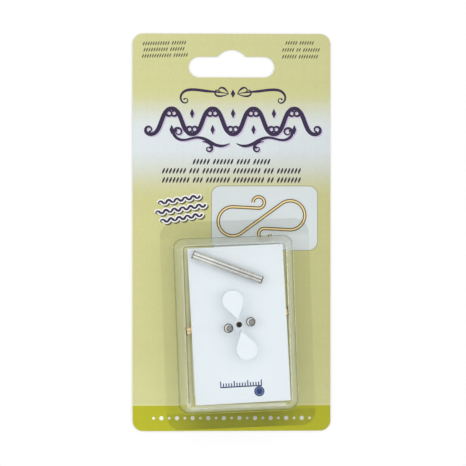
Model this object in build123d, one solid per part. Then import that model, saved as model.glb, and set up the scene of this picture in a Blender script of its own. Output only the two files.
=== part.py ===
from build123d import *
from math import asin, cos, degrees, radians
import os

# A wire jig for bending S-shaped hook clasps, in the hang card and clear bubble that hold it.
# Lengths are in millimetres and angles in degrees.
# The card lies on its back: X to its right, Y to its top, Z out of its printed face.
# The origin is the centre of the card's back face.

# Backing card
card_width = 73.5
card_height = 147.5
card_thickness = 0.5
card_corner_radius = 3.9

# Hang slot: a round-ended slot with a dome over its middle
slot_length = 32.0
slot_height = 7.7
slot_below_top = 12.4
slot_dome_radius = 6.45
slot_shoulder_radius = 0.8

# Jig plate, whose own origin is the wire hole at its centre
plate_width = 35.2
plate_height = 57.8
plate_thickness = 3.2
plate_edge_break = 0.2
plate_right_of_bubble = 0.95
plate_below_bubble = 0.0
plate_turn = 0.9
wire_hole_radius = 1.1

# Teardrop formers, one each side of the wire hole, half let into the plate
former_round_radius = 3.9
former_reach = 9.35
former_tip_gap = 2.0
former_tip_radius = 0.35
former_lean = 13.0
former_height = 4.4
former_seat_depth = 1.6
former_seat_clearance = 0.03
former_edge_break = 0.25

# Steel pegs: two pressed through the plate, and one loose in the pack
peg_radius = 1.7
peg_reach = 4.25
peg_chamfer = 0.4
peg_interference = 0.01
loose_peg_length = 27.5
loose_peg_below_top = 7.5
loose_peg_left_of_centre = 3.25
loose_peg_turn = -23.4

# Brass rod behind the plate, which shows past the plate's left edge
rod_radius = 1.7
rod_left_overhang = 2.1
rod_right_overhang = 1.1
rod_chamfer = 0.3
rod_above_centre = 1.1
rod_turn = 9.0

# Instruction leaflet, a paper sheet folded to and fro behind the rod
leaflet_panels = 4
leaflet_ply = 0.2
leaflet_air = 0.08
leaflet_side_inset = 1.1
leaflet_end_inset = 2.9

# Blister: a clear sheet formed into a bubble over the jig, with a flange that is sealed to the card
sheet = 0.35
bubble_side_room = 2.0
bubble_end_room = 1.4
bubble_side_lean = 2.45
bubble_end_lean = 2.1
bubble_foot_corner = 3.6
bubble_top_corner = 2.0
bubble_top_edge_radius = 0.9
bubble_foot_edge_radius = 0.7
bubble_right_of_centre = 1.5
bubble_turn = 2.2
flange_side_margin = 5.55
flange_end_margin = 6.1
flange_right_shift = 0.7
flange_corner_radius = 5.2
flange_above_bottom = 1.15

# Clearances: at rest under a loose piece, and from the formers to the bubble's ceiling
rest_gap = 0.1
ceiling_gap = 0.6

# A rounded corner takes at most this share of a side
most_corner_share = 0.49

# Heights, from the card's back upwards
leaflet_thickness = leaflet_panels * leaflet_ply + (leaflet_panels - 1) * leaflet_air
rod_axis_z = card_thickness + leaflet_thickness + rest_gap + rod_radius
plate_z = rod_axis_z + rod_radius + rest_gap
plate_top_z = plate_z + plate_thickness
former_top_z = plate_top_z + former_height
loose_peg_axis_z = plate_top_z + rest_gap + peg_radius
bubble_depth = former_top_z + ceiling_gap + sheet - card_thickness

# Bubble and flange sizes, which follow the plate
bubble_top_width = plate_width + 2 * bubble_side_room
bubble_top_height = plate_height + 2 * bubble_end_room
bubble_foot_width = bubble_top_width + 2 * bubble_side_lean
bubble_foot_height = bubble_top_height + 2 * bubble_end_lean
flange_width = bubble_foot_width + 2 * flange_side_margin
flange_height = bubble_foot_height + 2 * flange_end_margin

# Places of the bubble and of the jig on the card
bubble_y = -card_height / 2 + flange_above_bottom + flange_height / 2
bubble_place = Pos(bubble_right_of_centre, bubble_y, card_thickness) * Rot(0, 0, bubble_turn)
jig_place = bubble_place * Pos(plate_right_of_bubble, -plate_below_bubble) * Rot(0, 0, plate_turn)
plate_place = jig_place * Pos(0, 0, plate_z - card_thickness)


def rounded_rectangle(width, height, radius):
    """A rectangle whose corner radius stays under half of its shorter side."""
    most = most_corner_share * min(width, height)
    return RectangleRounded(width, height, min(radius, most))


def hang_slot():
    """The outline of the slot, centred on its long axis."""
    bar = SlotOverall(slot_length, slot_height)
    upper_half = Pos(0, slot_dome_radius) * Rectangle(2 * slot_dome_radius, 2 * slot_dome_radius)
    dome = Circle(slot_dome_radius) & upper_half
    outline = bar + dome
    shoulders = [v for v in outline.vertices()
                 if abs(v.X) < slot_dome_radius and v.Y > slot_height / 4]
    return fillet(shoulders, slot_shoulder_radius)


def backing_card():
    blank = rounded_rectangle(card_width, card_height, card_corner_radius)
    slot_y = card_height / 2 - slot_below_top
    return extrude(blank - Pos(0, slot_y) * hang_slot(), card_thickness)


def bubble_block(inset, depth):
    """The bubble as a solid block, with its sides moved in by an inset."""
    foot = rounded_rectangle(bubble_foot_width - 2 * inset, bubble_foot_height - 2 * inset,
                             bubble_foot_corner - inset)
    top = rounded_rectangle(bubble_top_width - 2 * inset, bubble_top_height - 2 * inset,
                            bubble_top_corner - inset)
    return loft([foot, Pos(0, 0, depth) * top], ruled=True)


def top_edges(solid):
    return solid.faces().sort_by(Axis.Z)[-1].edges()


def blister():
    flange_outline = rounded_rectangle(flange_width, flange_height, flange_corner_radius)
    flange = extrude(Pos(flange_right_shift, 0) * flange_outline, sheet)
    block = bubble_block(0, bubble_depth)
    block = fillet(top_edges(block), bubble_top_edge_radius)
    formed = flange + block
    formed = fillet(new_edges(flange, block, combined=formed), bubble_foot_edge_radius)
    hollow = bubble_block(sheet, bubble_depth - sheet)
    hollow = fillet(top_edges(hollow), bubble_top_edge_radius - sheet)
    shell = formed - hollow
    mouth = shell.faces().sort_by(Axis.Z)[0].inner_wires()[0]
    shell = fillet(mouth.edges(), bubble_foot_edge_radius + sheet)
    return bubble_place * shell


def teardrop(growth):
    """A former's outline, with its tip towards the wire hole, moved out by a growth."""
    centre_to_tip = former_reach - former_tip_gap
    half_angle = degrees(asin(former_round_radius / centre_to_tip))
    flank_x = former_round_radius * cos(radians(half_angle))
    flank_y = former_reach - former_round_radius * former_round_radius / centre_to_tip
    tip = (0, former_tip_gap)
    round_end = ThreePointArc((flank_x, flank_y), (0, former_reach + former_round_radius),
                              (-flank_x, flank_y))
    outline = Curve() + [Line(tip, (flank_x, flank_y)), round_end, Line((-flank_x, flank_y), tip)]
    face = make_face(outline)
    face = fillet([v for v in face.vertices() if abs(v.Y - former_tip_gap) < former_tip_radius],
                  former_tip_radius)
    if growth:
        face = offset(face, growth)
    return Rot(0, 0, former_lean) * face


def former(half_turn):
    """One former, seated in its pocket and standing up from the plate."""
    foot_z = plate_thickness - former_seat_depth
    solid = extrude(Pos(0, 0, foot_z) * teardrop(0), former_seat_depth + former_height)
    solid = chamfer(top_edges(solid), former_edge_break)
    return plate_place * Rot(0, 0, half_turn) * solid


def peg_spots():
    """The two pegs' axes, square to the line through the formers."""
    left = Rot(0, 0, former_lean) * Pos(-peg_reach, 0)
    right = Rot(0, 0, former_lean) * Pos(peg_reach, 0)
    return left, right


def jig_plate():
    solid = extrude(Rectangle(plate_width, plate_height), plate_thickness)
    solid = chamfer(top_edges(solid), plate_edge_break)
    pocket = extrude(teardrop(former_seat_clearance), former_seat_depth)
    pocket = Pos(0, 0, plate_thickness - former_seat_depth) * pocket
    for half_turn in (0, 180):
        solid = solid - Rot(0, 0, half_turn) * pocket
    peg_bore = Pos(0, 0, plate_thickness / 2) * Cylinder(peg_radius - peg_interference, plate_thickness)
    for spot in peg_spots():
        solid = solid - spot * peg_bore
    wire_hole = Pos(0, 0, plate_thickness / 2) * Cylinder(wire_hole_radius, plate_thickness)
    solid = solid - wire_hole
    return plate_place * solid


def round_bar(radius, length, end_chamfer):
    """A bar along Z from 0, with both ends chamfered."""
    bar = Pos(0, 0, length / 2) * Cylinder(radius, length)
    return chamfer(bar.edges().filter_by(GeomType.CIRCLE), end_chamfer)


def fixed_peg(spot):
    length = plate_thickness + former_height
    return plate_place * spot * round_bar(peg_radius, length, peg_chamfer)


def lying_bar(radius, length, end_chamfer):
    """A bar along X, centred on the origin."""
    return Rot(0, 90, 0) * Pos(0, 0, -length / 2) * round_bar(radius, length, end_chamfer)


def loose_peg():
    across = -loose_peg_left_of_centre
    along = plate_height / 2 - loose_peg_below_top
    spot = jig_place * Pos(across, along, loose_peg_axis_z - card_thickness)
    return spot * Rot(0, 0, loose_peg_turn) * lying_bar(peg_radius, loose_peg_length, peg_chamfer)


def brass_rod():
    reach = plate_width + rod_left_overhang + rod_right_overhang
    length = reach / cos(radians(rod_turn))
    across = plate_right_of_bubble + (rod_right_overhang - rod_left_overhang) / 2
    spot = bubble_place * Pos(across, rod_above_centre, rod_axis_z - card_thickness)
    return spot * Rot(0, 0, rod_turn) * lying_bar(rod_radius, length, rod_chamfer)


def instruction_leaflet():
    """Panels one above the other, joined by half-round folds at their left and right in turn."""
    width = plate_width - 2 * leaflet_side_inset
    height = plate_height - 2 * leaflet_end_inset
    pitch = leaflet_ply + leaflet_air
    fold_radius = leaflet_air / 2 + leaflet_ply
    panel_width = width - 2 * fold_radius
    section = Sketch()
    for panel in range(leaflet_panels):
        section += Pos(0, leaflet_ply / 2 + panel * pitch) * Rectangle(panel_width, leaflet_ply)
    for fold in range(leaflet_panels - 1):
        side = 1 if fold % 2 == 0 else -1
        ring = Circle(fold_radius) - Circle(leaflet_air / 2)
        outer_half = Pos(side * fold_radius, 0) * Rectangle(2 * fold_radius, 2 * fold_radius)
        section += Pos(side * panel_width / 2, fold_radius + fold * pitch) * (ring & outer_half)
    folded = extrude(Rot(90, 0, 0) * section, height / 2, both=True)
    return bubble_place * folded


left_spot, right_spot = peg_spots()
nodes = {
    "backing_card": backing_card(),
    "blister": blister(),
    "instruction_leaflet": instruction_leaflet(),
    "brass_rod": brass_rod(),
    "jig_plate": jig_plate(),
    "upper_former": former(0),
    "lower_former": former(180),
    "left_peg": fixed_peg(left_spot),
    "right_peg": fixed_peg(right_spot),
    "loose_peg": loose_peg(),
}

os.makedirs("parts", exist_ok=True)
for name, shape in nodes.items():
    export_step(shape, f"parts/{name}.step")
    print(name, "volume", round(shape.volume, 1), "mm3")
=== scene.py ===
# %% [markdown]
# # A wire jig in its hang pack
#
# The object is a small jig for bending wire into S-shaped hook clasps. A white plate carries two
# teardrop formers and two steel pegs. It lies with a loose peg, a brass rod and a folded leaflet in
# a clear bubble, and the bubble is sealed to a printed hang card.
#
# The solid parts come from a CAD model that is already right in size and place. This script keeps
# them still, gives each one its finish, and adds the printing that lies on them.

import math

import bmesh
import bpy
from mathutils import Matrix, Vector


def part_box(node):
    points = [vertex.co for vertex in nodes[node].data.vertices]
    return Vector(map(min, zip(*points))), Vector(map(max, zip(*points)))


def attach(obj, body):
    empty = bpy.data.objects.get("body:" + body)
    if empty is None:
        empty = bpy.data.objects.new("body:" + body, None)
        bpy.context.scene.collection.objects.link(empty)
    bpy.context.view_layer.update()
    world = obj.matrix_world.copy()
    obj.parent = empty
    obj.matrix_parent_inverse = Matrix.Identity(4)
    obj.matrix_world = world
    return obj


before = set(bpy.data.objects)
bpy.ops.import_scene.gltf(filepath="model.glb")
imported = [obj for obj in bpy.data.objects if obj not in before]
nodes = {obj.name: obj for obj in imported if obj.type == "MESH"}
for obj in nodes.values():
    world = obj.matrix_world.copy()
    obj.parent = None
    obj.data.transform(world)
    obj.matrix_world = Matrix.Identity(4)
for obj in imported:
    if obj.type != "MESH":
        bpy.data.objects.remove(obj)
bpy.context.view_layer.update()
print("Parts:", sorted(nodes))

# %% [markdown]
# ## Camera
#
# The card lies on its back with its top towards +Y, and the photograph looks down on it. The pegs
# and formers show a little of their left sides, which tells that the lens stood a few degrees to
# the left. A long lens one metre away keeps the card's edges parallel, as they are in the photograph.

# %% Place the camera
mm = 0.001
view_width = 173.2 * mm
camera_distance = 1.0
camera_lean = math.radians(2.5)
aim = Vector((0.52, -0.26, 0.0)) * mm

lens = bpy.data.cameras.new("Camera")
lens.sensor_width = 36.0
lens.lens = lens.sensor_width * camera_distance / view_width
lens.clip_start = 0.05
lens.clip_end = 50.0
camera = bpy.data.objects.new("Camera", lens)
camera.location = aim + camera_distance * Vector((-math.sin(camera_lean), 0, math.cos(camera_lean)))
camera.rotation_euler = (0, -camera_lean, 0)
bpy.context.scene.collection.objects.link(camera)
bpy.context.scene.camera = camera
print("Focal length:", round(lens.lens, 1), "mm")

# %% [markdown]
# ## Shader maths
#
# Every finish here is worked out from where a point lies on the object. Blender does such sums with
# small Math nodes, and a long row of them is hard to read. The `Field` class holds one socket and
# gives it Python's signs, so `1 - mask` adds the node that it needs. `Finish` holds one node tree,
# and its `node` method adds any other node: first its settings, then the values of its sockets.

# %% A socket with Python's operators
class Field:
    def __init__(self, finish, socket):
        self.finish = finish
        self.socket = socket

    def sum(self, operation, *values):
        sockets = dict(enumerate(values))
        return self.finish.node("ShaderNodeMath", {"operation": operation}, sockets)

    def __add__(self, other):
        return self.sum("ADD", self, other)

    def __radd__(self, other):
        return self.sum("ADD", other, self)

    def __sub__(self, other):
        return self.sum("SUBTRACT", self, other)

    def __rsub__(self, other):
        return self.sum("SUBTRACT", other, self)

    def __mul__(self, other):
        return self.sum("MULTIPLY", self, other)

    def __rmul__(self, other):
        return self.sum("MULTIPLY", other, self)

    def __truediv__(self, other):
        return self.sum("DIVIDE", self, other)

    def __pow__(self, other):
        return self.sum("POWER", self, other)

    def __gt__(self, other):
        return self.sum("GREATER_THAN", self, other)

    def __lt__(self, other):
        return self.sum("LESS_THAN", self, other)

    def low(self, other):
        return self.sum("MINIMUM", self, other)

    def high(self, other):
        return self.sum("MAXIMUM", self, other)

    def size(self):
        return self.sum("ABSOLUTE", self)

    def sine(self):
        return self.sum("SINE", self)

    def root(self):
        return self.sum("SQRT", self)

    def whole(self):
        return self.sum("FLOOR", self)

    def step(self, start, end):
        """0 before start, 1 after end, and a soft rise between them. Start may be above end."""
        sockets = {"Value": self, "From Min": start, "From Max": end}
        return self.finish.node("ShaderNodeMapRange", {"interpolation_type": "SMOOTHSTEP"}, sockets)


# %% [markdown]
# A node tree is filled through one method too. The methods below it are short names for the nodes
# that come up again and again: a colour mix, a tint, a place to measure from, noise and bump.

# %% A node tree that builds itself
class Finish:
    def __init__(self, tree):
        self.tree = tree
        tree.nodes.clear()

    def node(self, kind, settings=None, sockets=None, out=0):
        made = self.tree.nodes.new(kind)
        for name, value in (settings or {}).items():
            if name == "stops":
                self.set_stops(made.color_ramp, value)
            else:
                setattr(made, name, value)
        for name, value in (sockets or {}).items():
            if isinstance(value, Field):
                self.tree.links.new(value.socket, made.inputs[name])
            else:
                made.inputs[name].default_value = value
        return Field(self, made.outputs[out]) if len(made.outputs) else None

    def set_stops(self, ramp, stops):
        while len(ramp.elements) < len(stops):
            ramp.elements.new(0.5)
        for element, (position, colour) in zip(ramp.elements, stops):
            element.position = position
            element.color = colour

    def mix(self, share, first, second):
        sockets = {0: share, 6: first, 7: second}
        return self.node("ShaderNodeMix", {"data_type": "RGBA"}, sockets, 2)

    def tint(self, colour, strength):
        """A colour made lighter or darker by a value."""
        base = colour if isinstance(colour, Field) else colour[:3]
        sockets = {0: base, "Scale": strength}
        return self.node("ShaderNodeVectorMath", {"operation": "SCALE"}, sockets)

    def place(self, centre=(0, 0, 0), turn=0.0):
        """The millimetre coordinates of a point, measured from a centre and along a turned X axis."""
        start = self.node("ShaderNodeTexCoord", out="Object")
        settings = {"vector_type": "TEXTURE"}
        sockets = {"Vector": start, "Location": [c * mm for c in centre],
                   "Rotation": (0, 0, math.radians(turn)), "Scale": (mm, mm, mm)}
        return self.node("ShaderNodeMapping", settings, sockets)

    def split(self, vector):
        parts = self.node("ShaderNodeSeparateXYZ", sockets={0: vector})
        outputs = parts.socket.node.outputs
        return [Field(self, outputs[axis]) for axis in range(3)]

    def noise(self, vector, scale, detail=2.0, rough=0.5, stretch=0.0):
        sockets = {"Vector": vector, "Scale": scale, "Detail": detail, "Roughness": rough,
                   "Distortion": stretch}
        return self.node("ShaderNodeTexNoise", sockets=sockets)

    def bump(self, height, depth):
        """Shading that follows a height. A height of 1 stands for the depth in millimetres."""
        return self.node("ShaderNodeBump", sockets={"Distance": depth * mm, "Height": height})

    def surface(self, **sockets):
        """A Principled shader. Each socket is named in words joined by low lines."""
        named = {name.replace("_", " "): value for name, value in sockets.items()}
        return self.node("ShaderNodeBsdfPrincipled", sockets=named)

    def show(self, shader):
        self.node("ShaderNodeOutputMaterial", sockets={"Surface": shader})


def new_finish(name):
    material = bpy.data.materials.new(name)
    material.use_nodes = True
    return material, Finish(material.node_tree)


def wear(piece, material):
    """Gives a piece its material in place of any that it came with."""
    piece.data.materials.clear()
    piece.data.materials.append(material)
    print(piece.name, "wears", material.name, "with", len(material.node_tree.nodes), "nodes")


# %% [markdown]
# ## Colours
#
# A picture file stores colours on a curved scale, and a shader works with amounts of light. The
# helper turns 8-bit numbers into amounts. It also divides by how bright the studio is, so that a
# colour read off the photograph comes out the same in the render.

# %% Turn 8-bit colours into light
studio_level = 1.06


def amount(value):
    share = value / 255.0
    if share <= 0.04045:
        return share / 12.92
    return ((share + 0.055) / 1.055) ** 2.4


def ink(*levels):
    return tuple(amount(level) / studio_level for level in levels) + (1.0,)


print("Pale olive of the card:", [round(v, 3) for v in ink(208, 206, 144)])

# %% [markdown]
# ## Studio light
#
# The photograph has hardly any shadow: soft light comes from all round, and a little more of it
# from above the card's top. A sky gives that, with a ramp by height and a slope from bottom to top.
# Its very top is darker, which draws the thin dark line along the middle of the steel peg and keeps
# the clear bubble from looking milky. A darker ring low over the table, as dark studio walls give,
# draws the peg's dark edges. Narrow soft boxes on both sides add lines on the bubble's edges. Boxes
# alone would be simpler, but a clear bubble throws their light about in hard-edged patches.

# %% Make the sky
sky_strength = 1.12
sky_by_height = [
    (-1.0, 0.6),
    (-0.02, 0.6),
    (0.0, 0.9),
    (0.1, 0.9),
    (0.14, 0.28),
    (0.3, 0.28),
    (0.42, 1.0),
    (0.8, 1.06),
    (0.95, 1.02),
    (0.982, 0.36),
    (1.0, 0.22),
]
sky_slope = (0.06, 0.08)
sky_stops = [((height + 1) / 2, (level, level, level, 1)) for height, level in sky_by_height]
world = bpy.data.worlds.new("Sky")
world.use_nodes = True
bpy.context.scene.world = world
sky = Finish(world.node_tree)
east, north, upward = sky.split(sky.node("ShaderNodeTexCoord", out="Generated"))
glow = sky.node("ShaderNodeValToRGB", {"stops": sky_stops}, {0: upward * 0.5 + 0.5})
slope = 1.0 + east * sky_slope[0] + north * sky_slope[1]
air = sky.node("ShaderNodeBackground", sockets={"Color": glow, "Strength": slope * sky_strength})
sky.node("ShaderNodeOutputWorld", sockets={"Surface": air})
print("The sky has", len(sky_stops), "stops")


# %% [markdown]
# The two soft boxes are area lamps that the camera can't see. Each prints how much light it adds to
# a level surface, next to the sky's 1, and how bright its own face is in a reflection.

# %% Place the soft boxes
def soft_box(name, place, width, height, power):
    lamp = bpy.data.lights.new(name, "AREA")
    lamp.shape = "RECTANGLE"
    lamp.size = width
    lamp.size_y = height
    lamp.energy = power
    holder = bpy.data.objects.new(name, lamp)
    holder.location = place
    holder.rotation_euler = (-Vector(place)).to_track_quat("-Z", "Y").to_euler()
    holder.visible_camera = False
    bpy.context.scene.collection.objects.link(holder)
    distance = Vector(place).length
    share = power * (place[2] / distance) / (math.pi ** 2 * distance ** 2)
    radiance = power / (math.pi * width * height)
    print(name, "adds", round(share, 3), "on a level surface and shines at", round(radiance, 2))


strip_size = (0.2, 0.9)
strip_power = 1.5
soft_box("Left_strip", (-0.95, 0.1, 0.75), *strip_size, strip_power)
soft_box("Right_strip", (0.95, 0.0, 0.75), *strip_size, strip_power)

# %% [markdown]
# ## Floor
#
# The card lies on a plain pale table that is a hair below it. One large square is enough, made from
# a grid with a single cell.

# %% Lay the floor
floor_drop = 0.02 * mm
floor_reach = 12.0


def new_piece(name, mesh):
    """Turns a bmesh into an object at the origin."""
    data = bpy.data.meshes.new(name)
    mesh.to_mesh(data)
    mesh.free()
    piece = bpy.data.objects.new(name, data)
    bpy.context.scene.collection.objects.link(piece)
    print(name, "has", len(data.polygons), "faces")
    return piece


mesh = bmesh.new()
bmesh.ops.create_grid(mesh, x_segments=1, y_segments=1, size=floor_reach)
bmesh.ops.translate(mesh, verts=mesh.verts, vec=(0, 0, -floor_drop))
floor = new_piece("Floor", mesh)
material, finish = new_finish("table_white")
finish.show(finish.surface(Base_Color=(0.9, 0.9, 0.9, 1), Roughness=0.9))
wear(floor, material)

# %% [markdown]
# ## Shapes drawn by a shader
#
# The card's picture is flat printing, so it can be drawn by its material. Each shape is a distance:
# how far a point is from a line, a circle or a rounded panel. Where the distance is under zero, or
# under half of a line's width, there is ink. This stays sharp at any zoom and needs no image.

# %% Distances in the plane, in millimetres
def length_of(x, y):
    return (x * x + y * y).root()


def panel_distance(x, y, width, height, corner):
    """Under zero inside a rounded rectangle that is centred on x = 0 and y = 0."""
    beyond_x = x.size() - (width / 2 - corner)
    beyond_y = y.size() - (height / 2 - corner)
    outside = length_of(beyond_x.high(0.0), beyond_y.high(0.0))
    return outside + beyond_x.high(beyond_y).low(0.0) - corner


def line_distance(x, y, start, end):
    """How far a point is from the straight line between two points."""
    run = (end[0] - start[0], end[1] - start[1])
    length = math.hypot(*run)
    way = (run[0] / length, run[1] / length)
    from_x = x - start[0]
    from_y = y - start[1]
    along = (from_x * way[0] + from_y * way[1]).high(0.0).low(length)
    return length_of(from_x - along * way[0], from_y - along * way[1])


def arc_distance(x, y, centre, radius, middle, half_angle):
    """How far a point is from an arc, and a large number beyond the arc's two ends."""
    from_x = x - centre[0]
    from_y = y - centre[1]
    reach = length_of(from_x, from_y)
    facing = from_x * math.cos(middle) + from_y * math.sin(middle)
    beyond = facing < reach * math.cos(half_angle)
    return (reach - radius).size() + beyond * 100.0


# %% [markdown]
# ## Printed card: tones
#
# The card is coated board, printed in a pale olive that fades into a cool white under the scrolls,
# with a strong olive band along the bottom. A colour ramp over the height of the card holds those
# tones. A very faint pattern of pointed ovals, as on old wallpapers, breaks up the flat tone, and
# fine noise stands for the fibres of the board.

# %% Tones from the bottom of the card to its top
card_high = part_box("backing_card")[1]
card_half_height = card_high.y / mm
card_width = 2 * card_high.x / mm
card_face = card_high.z / mm
card_tones = [
    (-73.75, (210, 209, 148)),
    (-60.0, (212, 211, 150)),
    (-44.0, (208, 206, 144)),
    (12.0, (208, 206, 144)),
    (15.7, (209, 209, 155)),
    (19.4, (213, 214, 179)),
    (23.2, (217, 221, 205)),
    (26.9, (220, 226, 222)),
    (30.6, (223, 231, 234)),
    (38.0, (223, 231, 234)),
    (41.7, (222, 228, 223)),
    (43.6, (220, 225, 212)),
    (45.5, (217, 221, 198)),
    (47.3, (217, 219, 186)),
    (49.2, (215, 215, 167)),
    (51.0, (213, 213, 156)),
    (53.0, (212, 211, 150)),
    (73.75, (212, 211, 151)),
]
card_stops = [((y + card_half_height) / (2 * card_half_height), ink(*tone)) for y, tone in card_tones]

card_material, card = new_finish("printed_board")
card_point = card.place()
x, y, z = card.split(card_point)
tone = card.node("ShaderNodeValToRGB", {"stops": card_stops},
                 {0: (y + card_half_height) / (2 * card_half_height)})
print("The ramp has", len(card_stops), "stops")

# %% [markdown]
# A row of beads in two sizes runs along the olive band, as on beaded borders, and a thin pale line
# edges the band. The number of a bead is x over the pitch, rounded down, and every second bead is
# the larger one. It is cheaper to draw them in the shader than to model them.

# %% The olive band and its beads
band_top = -64.35
band_tone = ink(184, 184, 27)
pale_line = ink(219, 217, 152)
bead_row = -69.0
bead_pitch = 2.9
bead_reach = 30.5
bead_radius = 0.5
bead_extra_radius = 0.28
band = y.step(band_top + 0.06, band_top - 0.06)
line = (y - (band_top + 0.35)).size().step(0.4, 0.25)
tone = card.mix(line, tone, pale_line)
tone = card.mix(band, tone, band_tone)
bead_count = x / bead_pitch + 0.5
bead_x = (bead_count - bead_count.whole() - 0.5) * bead_pitch
even = (bead_count.whole() * 0.5 - (bead_count.whole() * 0.5).whole()) * 2.0
bead = length_of(bead_x, y - bead_row) - (bead_radius + even * bead_extra_radius)
bead_mask = bead.step(0.06, -0.06) * (x.size() < bead_reach)
tone = card.mix(bead_mask, tone, ink(246, 248, 236))
print("Beads across:", int(2 * bead_reach / bead_pitch))

# %% [markdown]
# Printing and board are never quite even. The product of two sines gives the pattern of ovals, and
# three noises give fine grain, specks and broad clouds. The picture is also painted a little darker
# to the right and to the top: painted shade, for light that falls off across the card.

# %% The faint pattern and the fibres
oval_width = 9.0
oval_height = 14.0
wave = (x * (2 * math.pi / oval_width)).sine() * (y * (2 * math.pi / oval_height)).sine()
pattern = wave.size().step(0.25, 0.45) - wave.size().step(0.6, 0.8) * 0.6
grain = card.noise(card_point, 1.3, 4.0, 0.6)
speckle = card.noise(card_point, 2.3, 2.0, 0.7)
cloud = card.noise(card_point, 0.12, 2.0, 0.5)
# Painted shade: the card is made darker towards its right side and towards its top.
painted_shade_right = (x / card_width + 0.5) * (0.085 + 0.08 * y.step(55.0, -10.0))
painted_shade_top = y.step(-5.0, 25.0) * 0.035
mottle = grain * 0.1 + speckle * 0.1 + cloud * 0.03
tone = card.tint(tone, 0.867 + pattern * 0.014 + mottle - painted_shade_right - painted_shade_top)
print("An oval in mm:", oval_width / 2, "x", oval_height / 2)

# %% [markdown]
# ## Printed card: the picture of a clasp
#
# A white panel with round corners shows the clasp that the jig makes: a brass wire bent into an S
# with a small curl at each end. The S looks the same after half a turn, so one half is described
# and then drawn twice, as it stands and turned round. From the long straight middle the half goes
# through a large arc and a short line to the curl. Across the wire the tone goes from a bright
# middle to dark edges, which makes it look round.

# %% The white panel
panel_left, panel_right = -7.66, 32.1
panel_bottom, panel_top = -6.84, 17.36
panel_corner = 3.5
panel_middle = ((panel_left + panel_right) / 2, (panel_bottom + panel_top) / 2)
panel = panel_distance(x - panel_middle[0], y - panel_middle[1], panel_right - panel_left,
                       panel_top - panel_bottom, panel_corner)
panel_fade = card.noise(card_point, 0.06, 1.0, 0.5)
panel_tone = card.mix(panel_fade, ink(206, 213, 214), ink(214, 221, 222))
tone = card.mix(panel.step(0.05, -0.05), tone, ink(150, 150, 112))
tone = card.mix(panel.step(-0.22, -0.3), tone, panel_tone)
print("Panel in mm:", round(panel_right - panel_left, 1), "x", round(panel_top - panel_bottom, 1))

# %% The brass wire, bent into an S
clasp_middle = (11.1, 5.2)
wire_half_width = 0.64
loop_centre = Vector((10.7, 1.13))
loop_radius = 5.4
curl_centre = Vector((1.05, -5.87))
curl_radius = 2.1

# The straight middle touches the large loop.
loop_bearing = math.atan2(loop_centre.y, loop_centre.x)
middle_turn = loop_bearing + math.asin(loop_radius / loop_centre.length)
middle_way = Vector((math.cos(middle_turn), math.sin(middle_turn)))
middle_end = middle_way * loop_centre.dot(middle_way)

# The short line touches the loop from below and the curl from above.
apart = loop_centre - curl_centre
lift = math.atan2(apart.y, apart.x) + math.acos((loop_radius + curl_radius) / apart.length)
lift_way = Vector((math.cos(lift), math.sin(lift)))
loop_leave = loop_centre - lift_way * loop_radius
curl_join = curl_centre + lift_way * curl_radius

# The arcs' middle directions and half angles.
loop_start = math.atan2(middle_end.y - loop_centre.y, middle_end.x - loop_centre.x)
loop_end = lift - math.pi
curl_end = math.radians(360)
loop_arc = ((loop_start + loop_end) / 2, (loop_start - loop_end) / 2)
curl_arc = ((lift + curl_end) / 2, (curl_end - lift) / 2)
print("The middle leans by", round(math.degrees(middle_turn), 1), "degrees")

# %% [markdown]
# The distance to the wire is the smallest of the distances to its lines and arcs. A ramp over that
# distance colours the wire, a soft darkening beside it seats it on the panel, and the panel's own
# outline cuts both off.

# %% Draw the wire on the panel
from_x = x - clasp_middle[0]
from_y = y - clasp_middle[1]
wire = line_distance(from_x, from_y, -middle_end, middle_end)
for hand in (1, -1):
    half_x = from_x * hand
    half_y = from_y * hand
    wire = wire.low(arc_distance(half_x, half_y, loop_centre, loop_radius, *loop_arc))
    wire = wire.low(line_distance(half_x, half_y, loop_leave, curl_join))
    wire = wire.low(arc_distance(half_x, half_y, curl_centre, curl_radius, *curl_arc))
wire_stops = [
    (0.0, ink(250, 238, 192)),
    (0.25, ink(226, 200, 130)),
    (0.55, ink(122, 90, 38)),
    (0.8, ink(72, 50, 18)),
    (1.0, ink(56, 40, 16)),
]
wire_tone = card.node("ShaderNodeValToRGB", {"stops": wire_stops}, {0: wire / wire_half_width})
in_panel = panel.step(-0.3, -0.5)
tone = card.tint(tone, 1.0 - wire.step(1.8, 0.4) * in_panel * 0.05)
wire_mask = wire.step(wire_half_width + 0.05, wire_half_width - 0.05) * in_panel
tone = card.mix(wire_mask, tone, wire_tone)
print("The wire is", 2 * wire_half_width, "mm wide")

# %% [markdown]
# ## Printed card: sides and back
#
# Only the front is printed. The cut sides show the board's pale fibres in thin layers, and the back
# is plain board. The point's height tells them apart, so one material serves the whole card.

# %% Finish the card
print_depth = 0.03
fibre = card.noise(card_point, 2.2, 5.0, 0.65, 0.4)
layers = card.noise(z * 9.0, 1.0, 2.0)
board = card.mix(fibre, ink(196, 190, 176), ink(222, 218, 207))
board = card.tint(board, 0.9 + layers * 0.15)
printed = z > card_face - print_depth
colour = card.mix(printed, board, tone)
relief = card.noise(card_point, 3.5, 3.0, 0.6)
gloss = 0.62 - printed * (0.2 - 0.08 * grain)
card.show(card.surface(Base_Color=colour, Roughness=gloss, Specular_IOR_Level=0.35,
                       Normal=card.bump(relief, 0.006)))
wear(nodes["backing_card"], card_material)

# %% [markdown]
# ## Raised ink
#
# The card's dark print is ornament from wirework: scrolls, and rows of twisted wire. It could be
# one more mask in the card's shader, but a scroll needs dozens of arcs there. A pen made of one
# edge draws it more simply. The pen is extruded, moved, turned and made wider or narrower at every
# step, as a broad nib is, and a growing curl gives a scroll that winds in. Solidify then makes a
# thin film of ink, whose edge catches the light.

# %% A broad-nibbed pen
ink_step = 0.3


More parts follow.
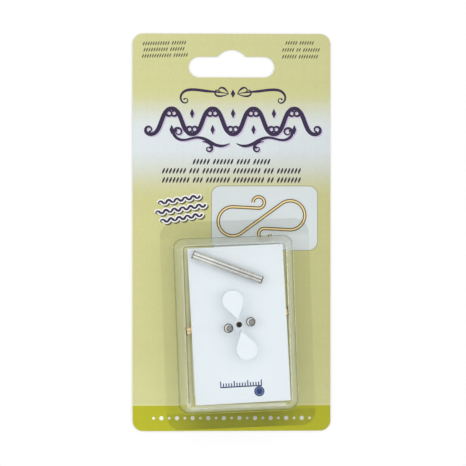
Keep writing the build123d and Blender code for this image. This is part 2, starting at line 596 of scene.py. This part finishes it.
def pen_stroke(mesh, start, heading, width, spans, height):
    """Draws a stroke and tells where it ends. Each span is its length, the curl at its start and at
    its end in degrees a millimetre, and the width at its end."""
    nib = [mesh.verts.new((0, -width / 2, 0)), mesh.verts.new((0, width / 2, 0))]
    edge = mesh.edges.new(nib)
    centre = Vector((start[0], start[1], height))
    turn = math.radians(heading)
    bmesh.ops.rotate(mesh, verts=nib, cent=(0, 0, 0), matrix=Matrix.Rotation(turn, 3, "Z"))
    bmesh.ops.translate(mesh, verts=nib, vec=centre)
    for length, first_curl, last_curl, end_width in spans:
        steps = max(3, round(length / ink_step))
        start_width = width
        for number in range(steps):
            curl = first_curl + (last_curl - first_curl) * (number + 0.5) / steps
            bend = math.radians(curl * length / steps)
            new_width = start_width + (end_width - start_width) * (number + 1) / steps
            extruded = bmesh.ops.extrude_edge_only(mesh, edges=[edge])["geom"]
            nib = [item for item in extruded if isinstance(item, bmesh.types.BMVert)]
            edge = next(item for item in extruded if isinstance(item, bmesh.types.BMEdge)
                        and set(item.verts) == set(nib))
            way = Vector((math.cos(turn + bend / 2), math.sin(turn + bend / 2), 0)) * (length / steps)
            centre = centre + way
            turn = turn + bend
            bmesh.ops.translate(mesh, verts=nib, vec=way)
            bmesh.ops.rotate(mesh, verts=nib, cent=centre, matrix=Matrix.Rotation(bend, 3, "Z"))
            ratio = new_width / width
            bmesh.ops.scale(mesh, verts=nib, vec=(ratio, ratio, 1), space=Matrix.Translation(-centre))
            width = new_width
    return centre


def drop(mesh, centre, radius):
    """A round drop of ink, such as the one that ends a scroll."""
    made = bmesh.ops.create_circle(mesh, cap_ends=True, segments=20, radius=radius)["verts"]
    bmesh.ops.translate(mesh, verts=made, vec=centre)


print("The pen moves", ink_step, "mm at a time")

# %% [markdown]
# Each ink has one material, and each drawing becomes one object that rides on the card or on the
# plate. Where strokes cross, they lie at slightly different heights, because two faces in the very
# same plane would show through each other in patches.

# %% From strokes to a piece of ink
def ink_piece(name, mesh, material, body, depth):
    """Scales the drawing from millimetres, turns every face up and gives the film its thickness."""
    bmesh.ops.scale(mesh, verts=mesh.verts, vec=(mm, mm, mm))
    down = [face for face in mesh.faces if face.normal.z < 0]
    bmesh.ops.reverse_faces(mesh, faces=down)
    bmesh.ops.solidify(mesh, geom=mesh.faces, thickness=-depth * mm)
    piece = new_piece(name, mesh)
    wear(piece, material)
    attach(piece, body)


def ink_finish(name, colour, variation=0.12):
    """Printing ink: almost flat in colour, a little thicker and glossier in places."""
    material, finish = new_finish(name)
    point = finish.place()
    coverage = finish.noise(point, 2.4, 3.0, 0.6)
    shade = finish.tint(colour, 1.0 - variation / 2 + coverage * variation)
    relief = finish.noise(point, 6.0, 2.0, 0.5)
    shader = finish.surface(Base_Color=shade, Roughness=0.38 + coverage * 0.12,
                            Normal=finish.bump(relief, 0.002))
    finish.show(shader)
    return material


plum_ink = ink_finish("plum_ink", ink(38, 16, 62))
lilac_ink = ink_finish("lilac_ink", ink(196, 184, 210), 0.06)
black_ink = ink_finish("black_ink", ink(38, 34, 52))
umber_ink = ink_finish("umber_ink", ink(92, 90, 62))
white_ink = ink_finish("white_ink", ink(240, 242, 240), 0.03)
blue_ink = ink_finish("blue_ink", ink(20, 44, 108), 0.1)
pale_blue_ink = ink_finish("pale_blue_ink", ink(140, 164, 206), 0.06)

# %% [markdown]
# ### Main scrolls
#
# Wrought-iron railings are bent from such scrolls, and so are ear wires. Four S-shaped scrolls
# stand each side of the middle line, with lozenges between them and a long flourish below. Each
# half is drawn once and mirrored. The same drawing in lilac, moved a little down and to the right,
# is the soft shadow that it has in print.

# %% Draw the main scrolls
main_middle = 0.5
main_pitch = 7.6
main_row = 41.2
scroll_spans = [(3.1, 0, -5, 1.6), (4.7, -11, -27, 1.25), (6.4, -33, -66, 0.4)]
flourish_spans = [(3.0, 6, 12, 1.0), (5.0, 12, 2, 1.3), (4.8, -2, -12, 0.9), (4.2, -10, 6, 0.8),
                  (5.2, 8, 21, 1.15), (9.2, 27, 62, 0.35)]
tendril_spans = [(3.8, 5, 21, 0.9), (6.0, 31, 86, 0.3)]
lozenge_spans = [(1.7, 0, 0, 1.6), (1.7, 0, 0, 0.15)]
lozenge_row = 42.4
low_lozenge_row = 36.4
stroke_lift = 0.001
drop_lift = Vector((0, 0, 0.0004))
drop_radius = 0.45
mirror_lift = 0.014


def both_hands(mesh):
    """Adds the mirror image across the scrolls' middle line, a hair above the strokes that it crosses."""
    made = bmesh.ops.mirror(mesh, geom=mesh.verts[:] + mesh.edges[:] + mesh.faces[:],
                            matrix=Matrix.Translation((-main_middle, 0, 0)), merge_dist=0.0, axis="X")
    image = [item for item in made["geom"] if isinstance(item, bmesh.types.BMVert)]
    bmesh.ops.translate(mesh, verts=image, vec=(0, 0, mirror_lift))


def main_drawing(shift, height):
    mesh = bmesh.new()
    level = height
    for number in range(4):
        hand = 1 if number % 2 == 0 else -1
        spans = [(length, hand * first, hand * last, width) for length, first, last, width in scroll_spans]
        middle = (main_middle + main_pitch * (number + 0.5), main_row)
        for half_turn in (0, 180):
            end = pen_stroke(mesh, middle, 90 - 20 * hand + half_turn, 1.6, spans, level)
            drop(mesh, end + drop_lift, drop_radius)
            level += stroke_lift
        if number:
            spot = (main_middle + main_pitch * number, lozenge_row if hand > 0 else low_lozenge_row)
            pen_stroke(mesh, spot, 90, 0.15, lozenge_spans, level)
            level += stroke_lift
    for start, heading, spans in (((main_middle + 1.3, 33.0), -30, flourish_spans),
                                  ((main_middle + 11.4, 33.7), 185, tendril_spans)):
        end = pen_stroke(mesh, start, heading, 0.3, spans, level)
        drop(mesh, end + drop_lift, drop_radius)
        level += stroke_lift
    both_hands(mesh)
    pen_stroke(mesh, (main_middle, lozenge_row), 90, 0.15, lozenge_spans, level)
    bmesh.ops.translate(mesh, verts=mesh.verts, vec=(shift[0], shift[1], 0))
    return mesh


ink_piece("Main_scroll_shadow", main_drawing((0.45, -0.4), card_face + 0.003), lilac_ink, "card",
          0.003)
ink_piece("Main_scrolls", main_drawing((0, 0), card_face + 0.026), plum_ink, "card",
          0.006)

# %% [markdown]
# ### Rows of twisted wire
#
# Short lengths of twisted wire are an old border pattern. Each length is a row of slanted petals,
# and each petal is one stroke that swells and narrows again, bent like a long S.

# %% Draw rows of twisted wire
def twisted_row(mesh, start, turn, lengths, height, pitch, gap, level):
    """Lays petals along a row that starts at a point. Lengths are counts of petals."""
    along = Vector((math.cos(math.radians(turn)), math.sin(math.radians(turn)), 0))
    spot = Vector((start[0], start[1], 0))
    half = height / 2 / math.sin(math.radians(petal_slant))
    for count in lengths:
        for _ in range(count):
            pen_stroke(mesh, spot, turn + petal_slant + petal_sway, 0.2 * height, [
                (half, -3 * petal_sway / height, 0, 0.4 * height),
                (half, 0, 3 * petal_sway / height, 0.2 * height)], level)
            spot = spot + along * pitch
        spot = spot + along * gap


def row_length(lengths, pitch, gap):
    return sum(lengths) * pitch + (len(lengths) - 1) * gap


petal_slant = 62.0
petal_sway = 16.0
middle_rows = [(25.2, (5, 6, 4, 5)), (21.8, (7, 3, 8, 8, 3, 7)), (18.4, (8, 3, 7, 9, 2, 7))]
middle_height = 1.95
middle_pitch = 1.3
middle_gap = 1.0
row_level = card_face + 0.004
mesh = bmesh.new()
for row_y, lengths in middle_rows:
    across = row_length(lengths, middle_pitch, middle_gap)
    twisted_row(mesh, (0.2 - across / 2, row_y), 0.0, lengths, middle_height, middle_pitch,
                middle_gap, row_level)
ink_piece("Middle_rows", mesh, black_ink, "card", 0.002)

left_rows = [((-32.9, 69.3), (11, 6)), ((-32.6, 67.0), (10, 6)), ((-33.2, 64.7), (12, 6))]
right_rows = [((20.1, 69.7), (5, 6)), ((18.9, 67.1), (5, 2, 7)), ((18.9, 64.6), (6, 8))]
small_height = 1.35
small_pitch = 0.92
small_gap = 0.65
mesh = bmesh.new()
for start, lengths in left_rows:
    twisted_row(mesh, start, 1.5, lengths, small_height, small_pitch, small_gap, row_level)
for start, lengths in right_rows:
    twisted_row(mesh, start, 0.0, lengths, small_height, small_pitch, small_gap, row_level)
ink_piece("Small_rows", mesh, umber_ink, "card", 0.002)

# %% [markdown]
# ### Upper flourish
#
# A flourish with a lozenge in its middle stands above the scrolls. Three strokes leave from one
# point on each side, and each ends in a curl and a drop.

# %% Draw the upper flourish
small_drop_radius = 0.36
mesh = bmesh.new()
level = row_level
upper_strokes = [
    (14, [(8.0, -3, 1, 1.0), (7.0, 2, -6, 1.05), (6.5, -12, -30, 0.6), (4.2, -40, -90, 0.25)]),
    (-24, [(4.0, 2, 14, 0.75), (4.6, 30, 84, 0.25)]),
    (62, [(2.6, -6, -14, 0.8), (3.4, -26, -82, 0.25)]),
]
for heading, spans in upper_strokes:
    end = pen_stroke(mesh, (main_middle + 1.6, 51.4), heading, 0.2, spans, level)
    drop(mesh, end + drop_lift, small_drop_radius)
    level += stroke_lift
both_hands(mesh)
pen_stroke(mesh, (main_middle, 50.0), 90, 0.15, [(1.5, 0, 0, 1.7), (1.5, 0, 0, 0.15)], level)
ink_piece("Upper_flourish", mesh, plum_ink, "card", 0.003)

# %% [markdown]
# ### Brushed waves
#
# Left of the picture are three rows of slanted brushed waves. Each is drawn three times, as a
# raised sign is painted: in shade, in white and a little wider, and in dark plum on top.

# %% Brush the waves
wave_turn = 9.0
wave_rows = [((-27.2, 10.9), 5), ((-28.2, 7.2), 6), ((-26.4, 4.1), 5)]
wave_span = 0.98
wave_rise = 62.0


def wave_drawing(extra, shift, height):
    """Rows of waves. The brush swings by twice the rise between one crest and the next."""
    mesh = bmesh.new()
    level = height
    for start, waves in wave_rows:
        spans = []
        for number in range(waves * 2):
            curl = wave_rise / wave_span * (1 if number % 2 else -1)
            spans.append((wave_span, 0.6 * curl, 1.4 * curl, 0.62 + extra + 0.1 * (number % 3)))
            spans.append((wave_span, 1.4 * curl, 0.6 * curl, 0.84 + extra))
        spot = (start[0] + shift[0], start[1] + shift[1])
        end = pen_stroke(mesh, spot, wave_turn + wave_rise, 0.5 + extra, spans, level)
        drop(mesh, end + drop_lift, drop_radius + extra / 2)
        level += stroke_lift
    return mesh


rim_width = 0.95
wave_layers = [
    ("Wave_shade", rim_width, (0.5, -0.5), 0.003, umber_ink),
    ("Wave_rim", rim_width, (0, 0), 0.010, white_ink),
    ("Brushed_waves", 0, (0, 0), 0.018, plum_ink),
]
for name, extra, shift, height, paint in wave_layers:
    drawing = wave_drawing(extra, shift, card_face + height)
    ink_piece(name, drawing, paint, "card", 0.002)

# %% [markdown]
# ## White plastic
#
# The plate and the formers are moulded or cut from a white plastic with a fine matt skin, cooler
# than the card. The formers are a shade whiter than the plate, and that is what makes them stand
# out in the photograph. Fine noise gives the skin, a slower noise gives the unevenness that flat
# mouldings have, and very shallow scratches run along the plate.

# %% Finish the plate and the formers
jig_centre = (2.449, -34.064, 8.34)
jig_turn = 3.1


def white_plastic(name, colour, skin, scratch):
    material, finish = new_finish(name)
    point = finish.place(jig_centre, jig_turn)
    x, y, z = finish.split(point)
    slow = finish.noise(point, 0.15, 2.0, 0.5)
    fine = finish.noise(point, 7.0, 3.0, 0.6)
    stretched = finish.node("ShaderNodeCombineXYZ", sockets={0: x * 6.0, 1: y * 0.25, 2: z})
    marks = finish.noise(stretched, 1.0, 2.0, 0.5).step(0.62, 0.8)
    cloud = finish.noise(point, 1.1, 2.0, 0.6)
    shade = finish.tint(colour, 0.965 + slow * 0.025 + cloud * 0.04 - marks * scratch * 0.02)
    height = fine * skin - marks * scratch
    shader = finish.surface(Base_Color=shade, Roughness=0.42 + fine * 0.1 - marks * 0.08,
                            Specular_IOR_Level=0.45, Normal=finish.bump(height, 0.012))
    finish.show(shader)
    return material


plate_plastic = white_plastic("plate_plastic", (0.815, 0.875, 0.93, 1), 0.5, 0.3)
former_plastic = white_plastic("former_plastic", (0.835, 0.895, 0.965, 1), 0.35, 0.0)
wear(nodes["jig_plate"], plate_plastic)
wear(nodes["upper_former"], former_plastic)
wear(nodes["lower_former"], former_plastic)

# %% [markdown]
# ## Ground steel and drawn brass
#
# The pegs are cut from ground rod. Grinding leaves fine rings round the bar, and cutting it off in
# a lathe leaves rings on its ends. Both follow the bar's own axis, so the finish first finds how
# far a point is along the bar and how far out from its middle. The brass rod is drawn, so its fine
# lines run along it instead, and handling has left it a warmer, darker tone in places. Its middle,
# under the plate's open hole, is painted darker as painted shade. The bars' bevels are painted
# darker than their sides, as painted shade. A standing peg's end has a painted dark outline of a
# round face a little to one side, with a painted highlight crescent beside it. The loose peg's left
# end is painted lighter, with its stain left off there, as a painted reflection.
#
# One function makes all four finishes. Its last numbers say how dense the rings and the drawn lines
# are, how blunt the metal is, how much painted shade darkens its middle and how much painted
# reflection lightens its left end.

# %% Finish the bars
bevel_length = 0.42
bevel_middle = 1.6
# Painted outline of a standing peg's end face as seen at a slant, set a little to one side.
painted_disc_centre = (0.4, -0.12)
painted_disc_radius = 1.05


def bar_finish(name, tones, centre, half, turn, lying, rings, lines, rough, painted_middle_shade=0.0, painted_end_glint=0.0):
    """A metal bar's finish. A lying bar's axis is X after the turn, and a standing one's is Z."""
    material, finish = new_finish(name)
    point = finish.place(centre, turn)
    x, y, z = finish.split(point)
    along = x if lying else z
    out = length_of(y, z) if lying else length_of(x, y)
    ground = finish.noise(finish.node("ShaderNodeCombineXYZ", sockets={0: along * rings, 1: out * 0.6}),
                          1.0, 4.0, 0.7)
    face = finish.noise(finish.node("ShaderNodeCombineXYZ", sockets={0: out * 9.0}), 1.0, 3.0, 0.7)
    stain = finish.noise(point, 0.35, 2.0, 0.55).step(0.42, 0.7)
    drawn = finish.noise(finish.node("ShaderNodeCombineXYZ",
                                     sockets={0: along * 0.3, 1: y * lines, 2: z * lines}), 1.0, 2.0)
    end = along.size() > half - bevel_length
    # Painted shade: the bevels at the bar's ends are made darker.
    dark = (out - bevel_middle).size().step(0.3, 0.14) * end * 0.92
    blunt = rough + ground * 0.07
    if lying:
        # Painted reflection: the left end is made lighter, and its stain is left off there.
        painted_glint = along.step(-3.5, -7.0) * painted_end_glint
        # Painted shade: the middle, under the plate's open hole, is made darker.
        dark = dark + (along - 0.5).size().step(2.6, 1.6) * painted_middle_shade - painted_glint * 0.22
        stain = stain * (1 - painted_glint)
    else:
        # Painted shade outline round the offset face, and a painted highlight crescent outside it.
        painted_disc = length_of(x - painted_disc_centre[0], y - painted_disc_centre[1])
        bright = painted_disc.step(painted_disc_radius + 0.1, painted_disc_radius + 0.3) * out.step(1.55, 1.4) * end
        dark = dark - bright * 0.25 + (painted_disc - painted_disc_radius).size().step(0.25, 0.1) * end * 0.35
        blunt = blunt + bright * 0.3
    tone = finish.mix(stain * 0.6, *tones)
    # The tone carries the painted shade and painted highlights worked out above.
    tone = finish.tint(tone, (0.9 + ground * 0.1 + face * 0.08) * (1 - dark))
    height = ground * 0.5 + face * 0.5 + drawn * 0.5
    shader = finish.surface(Base_Color=tone, Metallic=1.0, Roughness=blunt,
                            Normal=finish.bump(height, 0.01))
    finish.show(shader)
    return material


steel_tones = ((0.64, 0.64, 0.625, 1), (0.53, 0.485, 0.455, 1))
brass_tones = ((0.86, 0.66, 0.32, 1), (0.7, 0.36, 0.12, 1))
bars = [
    ("left_peg", "left_peg_steel", steel_tones, 3.8, 0.0, False, 6.0, 0.0, 0.2),
    ("right_peg", "right_peg_steel", steel_tones, 3.8, 0.0, False, 6.0, 0.0, 0.2),
    ("loose_peg", "loose_peg_steel", steel_tones, 13.75, -20.3, True, 6.0, 0.0, 0.07, 0.0, 1.0),
    ("brass_rod", "drawn_brass", brass_tones, 19.44, 11.2, True, 0.4, 5.0, 0.2, 0.8),
]
for node_name, material_name, tones, *values in bars:
    low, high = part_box(node_name)
    centre = tuple((low + high) / 2 / mm)
    print(node_name, "centre in mm:", [round(c, 2) for c in centre])
    wear(nodes[node_name], bar_finish(material_name, tones, centre, *values))

# %% [markdown]
# ## Leaflet
#
# The instruction leaflet is thin uncoated paper, folded to and fro behind the jig. It lies square to
# the bubble, so both are measured from the same place. Its print isn't known, and faint grey rows
# of dashes stand for it.

# %% Finish the paper
paper_material, paper = new_finish("leaflet_paper")
bubble_centre = (1.5, -34.1, 0.5)
bubble_turn = 2.2
row_pitch = 2.4
paper_point = paper.place(bubble_centre, bubble_turn)
x, y = paper.split(paper_point)[:2]
pulp = paper.noise(paper_point, 3.0, 5.0, 0.65)
row = y / row_pitch
row_mask = (row - row.whole() - 0.5).size().step(0.17, 0.13)
word_place = paper.node("ShaderNodeCombineXYZ", sockets={0: x * 0.7, 1: row.whole() * 7.3})
word = paper.noise(word_place, 1.0, 1.0)
in_margin = (x.size() < 13.5) * (y.size() < 23.0)
text_mask = row_mask * word.step(0.42, 0.46) * in_margin
white_paper = paper.mix(pulp, ink(228, 228, 222), ink(242, 242, 238))
paper_tone = paper.mix(text_mask * 0.55, white_paper, ink(120, 120, 124))
paper.show(paper.surface(Base_Color=paper_tone, Roughness=0.85, Specular_IOR_Level=0.25,
                         Normal=paper.bump(pulp, 0.01)))
wear(nodes["instruction_leaflet"], paper_material)

# %% [markdown]
# ## Clear formed sheet
#
# The bubble is a thin sheet that was heated and drawn over a mould. It hides nothing: what shows is
# the light that its skin throws back, very little where it faces the viewer and nearly all of it
# edge-on. A glossy shader is mixed with a transparent one by that share. Glass with refraction
# would be truer to a thick block, but in a sheet this thin it only adds noise, and the printed card
# would lose its light. Slow ripples in the skin break up the reflections, as forming does. A painted
# highlight line runs along the top edge, a band inside that line is painted lighter over the shade
# between the plate and the wall, a painted shadow line lies just inside the top edge, and painted
# grey shade lies along the foot. At the flange's two ends the card is painted darker through the
# sheet, as painted shadow, darkest in the middle below the bubble.

# %% Finish the sheet
bubble_top = (39.2, 60.6, 2.0)
bubble_foot = (44.1, 64.8, 3.6)
bubble_edge_height = 12.2
foot_height = 1.0
seal_height = 0.02
flange_end = 31.8
skin_mirror = 0.032
sheet_material, sheet = new_finish("clear_sheet")
sheet_point = sheet.place(bubble_centre, bubble_turn)
x, y, z = sheet.split(sheet_point)
ripple = sheet.noise(sheet_point, 0.22, 2.0, 0.5, 0.3)
fine_ripple = sheet.noise(sheet_point, 2.5, 2.0, 0.5)
edge_on = sheet.node("ShaderNodeLayerWeight", sockets={"Blend": 0.5}, out="Facing")
sealed = z < seal_height
top_reach = panel_distance(x, y, *bubble_top)
foot_reach = panel_distance(x, y, *bubble_foot)
top_face = z > bubble_edge_height
# Painted highlight: a pale line of extra reflection along the top edge.
pale_line = (top_reach + 0.25).size().step(0.42, 0.15) * (0.12 - 0.05 * x.step(16.0, 18.0))
low_end = y.step(-27.0, -29.0)
# Painted light: a band inside the top edge is made lighter over the shade between the plate and the wall.
painted_light_band = (top_reach - low_end * 0.7).step(-2.4, -1.7) * (top_reach - low_end * 0.4).step(-0.3, -0.6)
painted_light_band = painted_light_band * top_face * x.step(17.5, 16.0) * (0.08 + 0.09 * low_end + 0.02 * y.step(27.0, 29.0))
# Painted shadow line just inside the top edge.
painted_shadow_line = (top_reach + 0.9).size().step(0.35, 0.1) * top_face * (1 - low_end) * 0.12
# Painted grey shade along the foot.
painted_foot_shade = foot_reach.size().step(0.4, 0.15) * (z < foot_height) * 0.1
wall = z.step(0.6, 1.2) * z.step(12.6, 12.0)
broken = 0.45 + sheet.noise(sheet_point, 0.5, 2.0, 0.6).step(0.35, 0.65) * 0.8
pale_line = pale_line * top_face * broken
mirror_and_painted_share = skin_mirror + (1 - skin_mirror) * edge_on ** 5.0
mirror_and_painted_share = (mirror_and_painted_share + pale_line + painted_light_band + painted_shadow_line + painted_foot_shade + wall * 0.02) * (1 - sealed)
# Painted shadow: the flange's two ends are made darker over the card, most in the middle below the bubble.
painted_shadow_low = y.step(-flange_end, -flange_end - 1.2) * (0.1 + 0.16 * x.size().step(25.0, 10.0))
painted_shadow_ends = painted_shadow_low + y.step(flange_end, flange_end + 1.2) * 0.05
mirror_and_painted_share = mirror_and_painted_share + painted_shadow_ends * sealed
# The skin's colour turns dark olive for the painted shade; on the sealed flange it shows only through the
# painted shadow share.
painted_shade_share = ((painted_shadow_line + painted_foot_shade) * 10.0 + sealed).low(1.0)
skin_tone = sheet.mix(painted_shade_share, (0.95, 0.97, 0.96, 1), (0.2, 0.21, 0.12, 1))
skin_rough = 0.04 + fine_ripple * 0.04 + pale_line + painted_light_band * 4.0 + wall * 0.35
skin_height = ripple + fine_ripple * 0.06
skin = sheet.surface(Base_Color=skin_tone, Metallic=1.0, Roughness=skin_rough,
                     Specular_Tint=(0.86, 0.88, 0.82, 1), Normal=sheet.bump(skin_height, 0.12))
through = sheet.node("ShaderNodeBsdfTransparent", sockets={"Color": (0.99, 0.992, 0.987, 1)})
sheet.show(sheet.node("ShaderNodeMixShader", sockets={0: mirror_and_painted_share, 1: through, 2: skin}))
wear(nodes["blister"], sheet_material)

# %% [markdown]
# A film of heat seal holds the flange to the card. A renderer can't tell which of two faces at the
# very same height comes first, so a Displace modifier draws the sheet's skin in and leaves room for
# the film. The CAD solid itself stays as it is.

# %% Leave room for the sealing film
film_depth = 0.012 * mm
film = nodes["blister"].modifiers.new("Sealing_film", "DISPLACE")
film.direction = "NORMAL"
film.mid_level = 0.0
film.strength = -film_depth
print("The sheet's skin is drawn in by", round(film_depth / mm, 3), "mm")

# %% [markdown]
# ## Marks on the plate
#
# A short millimetre scale is printed low on the plate in dark blue, for measuring wire, and below
# its end is a round dot with a pale ring. The ticks are short pen strokes, and the ring is a stroke
# that turns once all the way round. The drawing is made square and then turned with the plate.

# %% Print the scale
scale_start = Vector((-8.0, -22.7))
scale_ticks = 15
scale_pitch = 1.0
tick_width = 0.42
long_tick = 2.1
short_tick = 1.35
dot_centre = (6.1, -24.9)
dot_radius = 1.9
ring_radius = 1.3
ring_width = 0.22
plate_top = jig_centre[2]


def lay_on_plate(mesh):
    """Turns and moves a drawing from the plate's own middle to its place."""
    turn = Matrix.Rotation(math.radians(jig_turn), 3, "Z")
    bmesh.ops.rotate(mesh, verts=mesh.verts, cent=(0, 0, 0), matrix=turn)
    bmesh.ops.translate(mesh, verts=mesh.verts, vec=(jig_centre[0], jig_centre[1], 0))


mesh = bmesh.new()
for number in range(scale_ticks + 1):
    tall = short_tick if number % 5 else long_tick
    spot = (scale_start.x + number * scale_pitch, scale_start.y)
    pen_stroke(mesh, spot, 90, tick_width, [(tall, 0, 0, tick_width)], plate_top + 0.006)
base_length = scale_ticks * scale_pitch + tick_width
pen_stroke(mesh, (scale_start.x - tick_width / 2, scale_start.y - 0.1), 0, tick_width,
           [(base_length, 0, 0, tick_width)], plate_top + 0.007)
drop(mesh, Vector((*dot_centre, plate_top + 0.006)), dot_radius)
lay_on_plate(mesh)
ink_piece("Plate_scale", mesh, blue_ink, "jig", 0.003)

mesh = bmesh.new()
ring_length = 2 * math.pi * ring_radius
ring_curl = 360.0 / ring_length
pen_stroke(mesh, (dot_centre[0], dot_centre[1] - ring_radius), 0, ring_width,
           [(ring_length, ring_curl, ring_curl, ring_width)], plate_top + 0.009)
lay_on_plate(mesh)
ink_piece("Dot_ring", mesh, pale_blue_ink, "jig", 0.002)

# %% [markdown]
# ## Finish
#
# Colours are shown as they are, with no film look on top.

# %% Finish
bpy.context.scene.view_settings.view_transform = "Standard"
